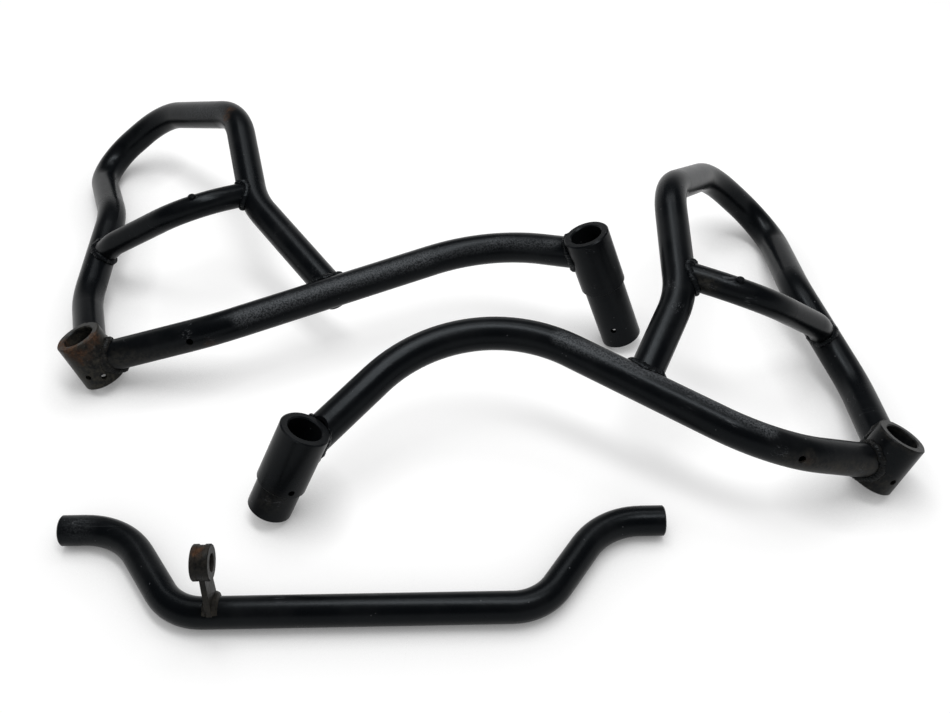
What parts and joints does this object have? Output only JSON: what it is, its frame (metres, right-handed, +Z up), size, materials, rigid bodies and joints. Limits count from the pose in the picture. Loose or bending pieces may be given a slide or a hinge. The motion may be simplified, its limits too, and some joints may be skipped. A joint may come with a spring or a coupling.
{
  "type": "motorcycle crash bars",
  "caption": "Set of black tubular motorcycle crash bars: left and right welded side bars with sockets and braced hoops, and a bent cross tube with an eye lug, laid on a floor.",
  "frame": {"origin": "on the floor, under the centre of the set's bounding box", "axes": "+Z up from the floor; +X to the right along the length of the set, from the left bar to the right bar; +Y away from the cross tube, the way the left hoop points"},
  "size_m": [0.7577, 0.604, 0.144],
  "materials": {
    "black_paint": "satin black powder coat, scratched",
    "dusty_paint": "black paint gone grey-brown with dust and rust at the rims",
    "worn_paint": "worn grey-brown paint with light rust"
  },
  "bodies": {
    "root": {"left_main_tube": "black_paint", "left_hoop_tube": "black_paint", "left_brace_tube": "black_paint", "left_front_socket": "dusty_paint", "left_rear_socket": "black_paint", "left_brace_nub": "black_paint", "left_front_main_weld": "black_paint", "left_front_hoop_weld": "black_paint", "left_rear_weld": "black_paint", "left_hoop_weld": "black_paint", "left_brace_outer_weld": "black_paint", "left_brace_inner_weld": "black_paint", "right_main_tube": "black_paint", "right_hoop_tube": "black_paint", "right_brace_tube": "black_paint", "right_front_socket": "dusty_paint", "right_rear_socket": "black_paint", "right_brace_nub": "black_paint", "right_front_main_weld": "black_paint", "right_front_hoop_weld": "black_paint", "right_rear_weld": "black_paint", "right_hoop_weld": "black_paint", "right_brace_outer_weld": "black_paint", "right_brace_inner_weld": "black_paint", "cross_tube": "black_paint", "lug_plate": "worn_paint", "lug_left_boss": "worn_paint", "lug_right_boss": "worn_paint", "lug_weld": "worn_paint"}
  },
  "joints": []
}
